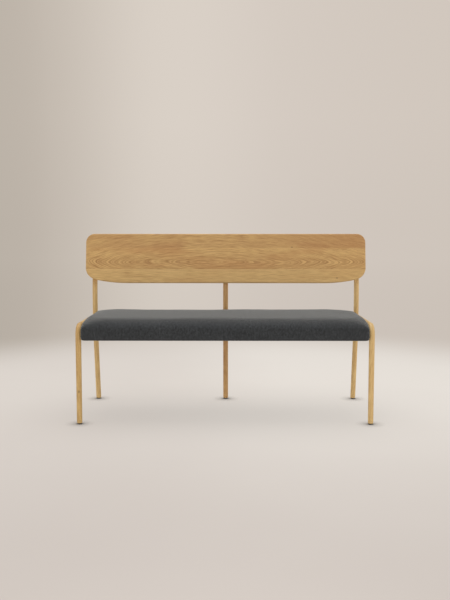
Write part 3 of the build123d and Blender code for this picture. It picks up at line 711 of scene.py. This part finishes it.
# Where the pad is uneven, how far round that it reaches in metres, and its height in millimetres.
UNEVEN = (((-0.56, 0.13), 0.06, 2.0), ((0.1, 0.0), 0.16, 1.0),
          ((0.56, 0.12), 0.04, 2.0), ((0.615, 0.14), 0.032, -7.0))
normals = [vertex.normal.copy() for vertex in seat.data.vertices]
for vertex, normal in zip(seat.data.vertices, normals):
    at = vertex.co
    slow = noise.noise(Vector((at.x / WAVE_LENGTH, at.y / WAVE_WIDTH, 3.7)))
    pull = noise.noise(Vector((
        at.x / PULL_WIDTH, at.z / PULL_LENGTH, at.y / PULL_CHANGE + 9.0)))
    free = freedom(at.z)
    vertex.co = at + normal * (slow * WAVE_HEIGHT * free + pull * PULL_HEIGHT * free)
    for place, reach, height in UNEVEN:
        near = math.exp(-((at.xy - Vector(place)).length / reach) ** 2)
        vertex.co.z += height * MM * near * free
    limit = SEAT_HALF - SIDE_ROOM
    vertex.co.x = min(limit, max(-limit, vertex.co.x))
for polygon in seat.data.polygons:
    polygon.use_smooth = True
finer = seat.modifiers.new("round_off", "SUBSURF")
finer.levels = finer.render_levels = 1
seat.data = baked(seat)
seat.modifiers.clear()
print("seat points:", len(seat.data.vertices))

# %% [markdown]
# ### Wool cloth
# The cover is a plain weave of charcoal wool: dark yarns with a few paler hairs, so the colour is
# made of several greys. The nap catches light that comes in flat, which makes the top look paler
# than the front: that is the shader's sheen. Threads of real geometry would be millions of faces,
# so the weave is two crossing waves in the material, and each lies on top in turn. They need to
# know the cloth's own two directions, so each point stores where it lay on the flat cloth before
# it went over the edge.

# %% Lay out the cloth
core_half = SEAT_HALF - UPPER_CORNER
core_low, core_high = SEAT_FRONT + UPPER_CORNER, SEAT_REAR - UPPER_CORNER
flat_cloth = seat.data.attributes.new("cloth", "FLOAT_VECTOR", "POINT")
for vertex in seat.data.vertices:
    at = vertex.co
    out_x = at.x - min(core_half, max(-core_half, at.x))
    out_y = at.y - min(core_high, max(core_low, at.y))
    out = Vector((out_x, out_y))
    drop = SEAT_HIGH - at.z
    way = out.normalized() * drop if out.length > 1e-6 else Vector((0.0, 0.0))
    flat_cloth.data[vertex.index].vector = (at.x + way.x, at.y + way.y, 0.0)
print("cloth laid out")

# %% Wool
# A yarn of such a cloth is about 0.9 mm thick. It is drawn at 1.3 mm, the least that still shows.
# A hair is drawn about as long as two yarns are thick, so that it shows too. Where the wool was
# blended unevenly, the grey changes every 8 mm or so, and wear changes it over a hand's width.
# Thick and thin places of the yarn gather into flecks, 9 mm wide and twice as long.
YARN = 1.3 * MM
HAIR_LENGTH, HAIR_WIDTH = 2.381 * MM, 0.909 * MM
BLEND_SIZE, WEAR_SIZE = 7.692 * MM, 111.1 * MM
FLECK_WIDTH, FLECK_LENGTH = 9 * MM, 18 * MM
wool, tree, shader = new_material("woven_charcoal_wool", roughness=0.92, ior=1.45)
cloth_place = add(tree, "ShaderNodeAttribute", attribute_name="cloth").outputs["Vector"]
turns = add(tree, "ShaderNodeVectorMath", {
    0: cloth_place, 1: (math.pi / YARN, math.pi / YARN, 1.0)}, operation="MULTIPLY")
both_ways = add(tree, "ShaderNodeSeparateXYZ", {0: turns})
warp = add(tree, "ShaderNodeMath", {0: both_ways.outputs[0]}, operation="SINE")
weft = add(tree, "ShaderNodeMath", {0: both_ways.outputs[1]}, operation="SINE")
warp_high = add(tree, "ShaderNodeMath", {0: warp}, operation="ABSOLUTE")
weft_high = add(tree, "ShaderNodeMath", {0: weft}, operation="ABSOLUTE")
crossing = add(tree, "ShaderNodeMath", {0: warp, 1: weft}, operation="MULTIPLY")
over = add(tree, "ShaderNodeMath", {0: crossing, 1: 0.0}, operation="GREATER_THAN")
weave = add(tree, "ShaderNodeMix", {"Factor": over, "A": warp_high, "B": weft_high})
hairs = add(tree, "ShaderNodeTexNoise", {
    "Vector": add(tree, "ShaderNodeVectorMath", {
        0: cloth_place, 1: (1 / HAIR_LENGTH, 1 / HAIR_WIDTH, 1.0)}, operation="MULTIPLY"),
    "Scale": 1.0, "Detail": 4.0, "Roughness": 0.7})
blend = add(tree, "ShaderNodeTexNoise", {
    "Vector": cloth_place, "Scale": 1 / BLEND_SIZE, "Detail": 5.0})
flecks = add(tree, "ShaderNodeTexNoise", {
    "Vector": add(tree, "ShaderNodeVectorMath", {
        0: cloth_place, 1: (1 / FLECK_WIDTH, 1 / FLECK_LENGTH, 1.0)}, operation="MULTIPLY"),
    "Scale": 1.0, "Detail": 2.0})
wear = add(tree, "ShaderNodeTexNoise", {
    "Vector": cloth_place, "Scale": 1 / WEAR_SIZE, "Detail": 2.0})
grey = add(tree, "ShaderNodeMapRange", {"Value": hairs, "From Min": 0.35, "From Max": 0.7})
yarn = add(tree, "ShaderNodeMix", {
    "Factor": grey, "A": linear("#2c2e30"), "B": linear("#494b4d")}, data_type="RGBA")
# The weave also darkens the colour where the yarns dip under each other: painted shade between
# the yarns. The blend, flecks and wear after it are the wool's own tone.
dim = add(tree, "ShaderNodeMapRange", {
    "Value": weave, "To Min": 0.62, "To Max": 1.1})
for cause, start, end, change in (
    (blend, 0.3, 0.7, 0.2), (flecks, 0.35, 0.65, 0.2), (wear, 0.3, 0.7, 0.07),
):
    factor = add(tree, "ShaderNodeMapRange", {
        "Value": cause, "From Min": start, "From Max": end,
        "To Min": 1 - change, "To Max": 1 + change})
    dim = add(tree, "ShaderNodeMath", {0: dim, 1: factor}, operation="MULTIPLY")
shade = add(tree, "ShaderNodeVectorMath", {0: yarn, 3: dim}, operation="SCALE")
fill(shader, {"Sheen Weight": 0.85, "Sheen Roughness": 0.3, "Sheen Tint": linear("#d9dad8"),
              "Specular IOR Level": 0.25})
knit = add(tree, "ShaderNodeMath", {0: hairs, 1: 0.5, 2: weave}, operation="MULTIPLY_ADD")
surface(shader, shade, knit, 0.6, 0.35 * MM)
seat.data.materials.append(wool)
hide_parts("seat_foam", "seat_cover")
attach(seat, "root")
print("wool on the seat, sheen", shader.inputs["Sheen Weight"].default_value)

# %% [markdown]
# ### The dust cover
# Under the seat a thin black non-woven sheet is stapled over the cloth's hem. It hangs a little
# between the staples. A flat grid with its corners drawn in, let down by a shallow sum of waves,
# is enough, since nobody sees more of it than its edge and its small dots. The dots, where the
# fibres are welded, are drawn at twice their real spacing, so that they show from close by.

# %% Dust cover
SHEET_LOW, SHEET_HIGH = (-603.9 * MM, -268.0 * MM), (603.9 * MM, 172.3 * MM)
SHEET_LEVEL, SAG = 369.75 * MM, 1.6 * MM
SHEET_STEP, CORNER_CUT = 9 * MM, 1.8 * MM
STAPLED_EDGE, LOOSE_REACH = 30 * MM, 90 * MM
RIPPLE_LENGTH, RIPPLE_WIDTH = 120 * MM, 100 * MM
DOT_GAP, FIBRE_CLOUD = 2.381 * MM, 1.4286 * MM
size_x = SHEET_HIGH[0] - SHEET_LOW[0]
size_y = SHEET_HIGH[1] - SHEET_LOW[1]
middle_y = (SHEET_LOW[1] + SHEET_HIGH[1]) / 2
count_x, count_y = round(size_x / SHEET_STEP), round(size_y / SHEET_STEP)
form = bmesh.new()
grid = []
for i in range(count_x + 1):
    column = []
    for j in range(count_y + 1):
        x = SHEET_LOW[0] + size_x * i / count_x
        y = SHEET_LOW[1] + size_y * j / count_y
        edge = min(x - SHEET_LOW[0], SHEET_HIGH[0] - x, y - SHEET_LOW[1], SHEET_HIGH[1] - y)
        loose = min(1.0, max(0.0, (edge - STAPLED_EDGE) / LOOSE_REACH))
        wave = 0.6 + 0.4 * noise.noise(Vector((x / RIPPLE_LENGTH, y / RIPPLE_WIDTH, 1.3)))
        if i in (0, count_x) and j in (0, count_y):
            x -= math.copysign(CORNER_CUT, x)
            y -= math.copysign(CORNER_CUT, y - middle_y)
        column.append(form.verts.new((x, y, SHEET_LEVEL - SAG * loose * loose * wave)))
    grid.append(column)
for i in range(count_x):
    for j in range(count_y):
        face = form.faces.new((grid[i][j], grid[i][j + 1], grid[i + 1][j + 1], grid[i + 1][j]))
        face.smooth = True
sheet_mesh = bpy.data.meshes.new("seat_underside_sheet")
form.to_mesh(sheet_mesh)
form.free()
sheet = new_object("seat_underside_sheet", sheet_mesh)
nonwoven, tree, shader = new_material("spunbond_polypropylene_black", roughness=0.75, ior=1.49)
here = add(tree, "ShaderNodeTexCoord").outputs["Object"]
dots = add(tree, "ShaderNodeTexVoronoi", {
    "Vector": here, "Scale": 1 / DOT_GAP, "Randomness": 0.15})
fibres = add(tree, "ShaderNodeTexNoise", {
    "Vector": here, "Scale": 1 / FIBRE_CLOUD, "Detail": 4.0})
dent = add(tree, "ShaderNodeMapRange", {"Value": dots, "From Min": 0.15, "From Max": 0.4})
tint = add(tree, "ShaderNodeMix", {
    "Factor": fibres, "A": linear("#17181a"), "B": linear("#2b2c2e")}, data_type="RGBA")
surface(shader, tint, dent, 0.5, 0.2 * MM)
sheet.data.materials.append(nonwoven)
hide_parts("seat_dust_cover")
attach(sheet, "root")
print("dust cover", round(size_x, 3), "by", round(size_y, 3), "m")

# %% [markdown]
# ## The seat's frame
# Inside the seat are rails of planed pine, beech dowels, corner blocks and a plywood deck. Pine
# has wide rings with a dark late band and no pores; beech is even, pinkish and fine; birch
# plywood shows its veneers as stripes on the edge, every second one dark because it is end grain.
# None of it shows while the seat is whole, so the wood function serves again, and the veneers are
# just each point's height, taken modulo the thickness of two.

# %% Pine, beech and plywood


def in_the_room(turn=0.0, shift=0.0):
    """Points in the room, with the grain along X, or along Y after a quarter turn."""
    def place_of(tree):
        return add(tree, "ShaderNodeMapping", {
            "Vector": add(tree, "ShaderNodeTexCoord").outputs["Object"],
            "Rotation": (0.0, 0.0, turn), "Location": (shift, 0.0, 0.0)})
    return place_of


PINE_LOG = dict(ring=3.4, drift=0.01, sway=6.0, flame=0.8, pore_share=0.0, roughness=0.6)
pine_long = wood("planed_pine", in_the_room(), "#dcb988", "#b98a55", "#cf9f66",
                 pith=(-60.0, 300.0), **PINE_LOG)
pine_cross = wood("planed_pine_across", in_the_room(math.pi / 2, 1.3),
                  "#dab684", "#b98a55", "#cc9b62", pith=(40.0, 300.0), **PINE_LOG)
beech = wood("turned_beech", in_the_room(shift=3.1), "#cfa57c", "#b58a62", "#bd8f69", ring=2.0,
             pith=(90.0, 200.0), drift=0.01, sway=3.0, flame=0.4, ring_share=0.25,
             pore_share=0.15, roughness=0.55)
dress(pine_long, "seat_frame_front_rail", "seat_frame_rear_rail", "seat_corner_blocks")
dress(pine_cross, "seat_frame_end_rail_left", "seat_frame_end_rail_right",
      "seat_frame_cross_bars")
dress(beech, "seat_frame_dowels")

plywood, tree, shader = new_material("birch_plywood", roughness=0.6)
VENEER, VENEER_GRAIN = 1.5 * MM, (90, 1.6, 4.0)
here = add(tree, "ShaderNodeTexCoord").outputs["Object"]
level = add(tree, "ShaderNodeSeparateXYZ", {0: here}).outputs[2]
layer = add(tree, "ShaderNodeMath", {0: level, 1: 2 * VENEER}, operation="MODULO")
crossed = add(tree, "ShaderNodeMath", {0: layer, 1: VENEER}, operation="GREATER_THAN")
face_grain = streaks(tree, here, *VENEER_GRAIN)
veneer = add(tree, "ShaderNodeMix", {
    "Factor": face_grain, "A": linear("#dcc198"), "B": linear("#c6a473")}, data_type="RGBA")
glued = add(tree, "ShaderNodeMix", {
    "Factor": crossed, "A": veneer, "B": linear("#a9835a")}, data_type="RGBA")
surface(shader, glued, face_grain, 0.3, 0.1 * MM)
dress(plywood, "seat_deck")
print("wooden nodes inside the seat dressed")

# %% [markdown]
# ## Metal and plastic
# Bolts, screws, nails and staples are zinc-plated steel: bright, slightly bluish, with fine marks
# from turning and handling. The threaded inserts are turned brass, warmer and as bright. The
# glides under the feet are hard dark nylon with a fine moulded grain, and so are the short
# spacers between seat and rails. These pieces are small, so two noises each will do: one that
# clouds the colour, and a finer one for the surface. The plating's clouds are some 4 mm wide.
# Turning marks and moulded grit are really finer than they are drawn here, and at their real size
# would not show at all.

# %% Zinc, brass and nylon
CLOUD_SIZE, MARK_SIZE = 3.846 * MM, 0.5263 * MM
GRIT_SIZE, DUST_SIZE = 0.3846 * MM, 11.11 * MM


def plated(name, code, worn, roughness):
    """A bright metal: colour clouds, and scratches that change its gloss."""
    material, tree, shader = new_material(name, roughness, metallic=1.0)
    here = add(tree, "ShaderNodeTexCoord").outputs["Object"]
    clouds = add(tree, "ShaderNodeTexNoise", {
        "Vector": here, "Scale": 1 / CLOUD_SIZE, "Detail": 3.0})
    marks = add(tree, "ShaderNodeTexNoise", {
        "Vector": here, "Scale": 1 / MARK_SIZE, "Detail": 2.0, "Distortion": 1.5})
    colour = add(tree, "ShaderNodeMix", {
        "Factor": clouds, "A": linear(code), "B": linear(worn)}, data_type="RGBA")
    gloss = add(tree, "ShaderNodeMapRange", {
        "Value": marks, "To Min": roughness - 0.1, "To Max": roughness + 0.15})
    fill(shader, {"Roughness": gloss})
    surface(shader, colour, marks, 0.25, 0.03 * MM)
    return material


def moulded(name, code, roughness):
    """Moulded plastic: a fine even grain and hardly any change of colour."""
    material, tree, shader = new_material(name, roughness, ior=1.53)
    here = add(tree, "ShaderNodeTexCoord").outputs["Object"]
    grit = add(tree, "ShaderNodeTexNoise", {
        "Vector": here, "Scale": 1 / GRIT_SIZE, "Detail": 2.0})
    dust = add(tree, "ShaderNodeTexNoise", {
        "Vector": here, "Scale": 1 / DUST_SIZE, "Detail": 4.0})
    colour = add(tree, "ShaderNodeMix", {
        "Factor": dust, "A": linear(code), "B": linear("#4a4540")}, data_type="RGBA")
    surface(shader, colour, grit, 0.3, 0.05 * MM)
    return material


zinc = plated("zinc_plated_steel", "#c9cdd2", "#a9adb0", 0.34)
brass = plated("turned_brass", "#d9b46a", "#b58d45", 0.32)
nylon = moulded("moulded_nylon_dark", "#2b2622", 0.5)
polyamide = moulded("moulded_polyamide_black", "#1b1b1c", 0.45)
dress(zinc, "backrest_bolts", "seat_bolts", "seat_deck_screws", "corner_block_screws",
      "seat_staples", "glide_nails")
dress(brass, "backrest_inserts", "seat_inserts")
dress(nylon, "foot_glides")
dress(polyamide, "seat_spacers")
print("metal and plastic dressed")
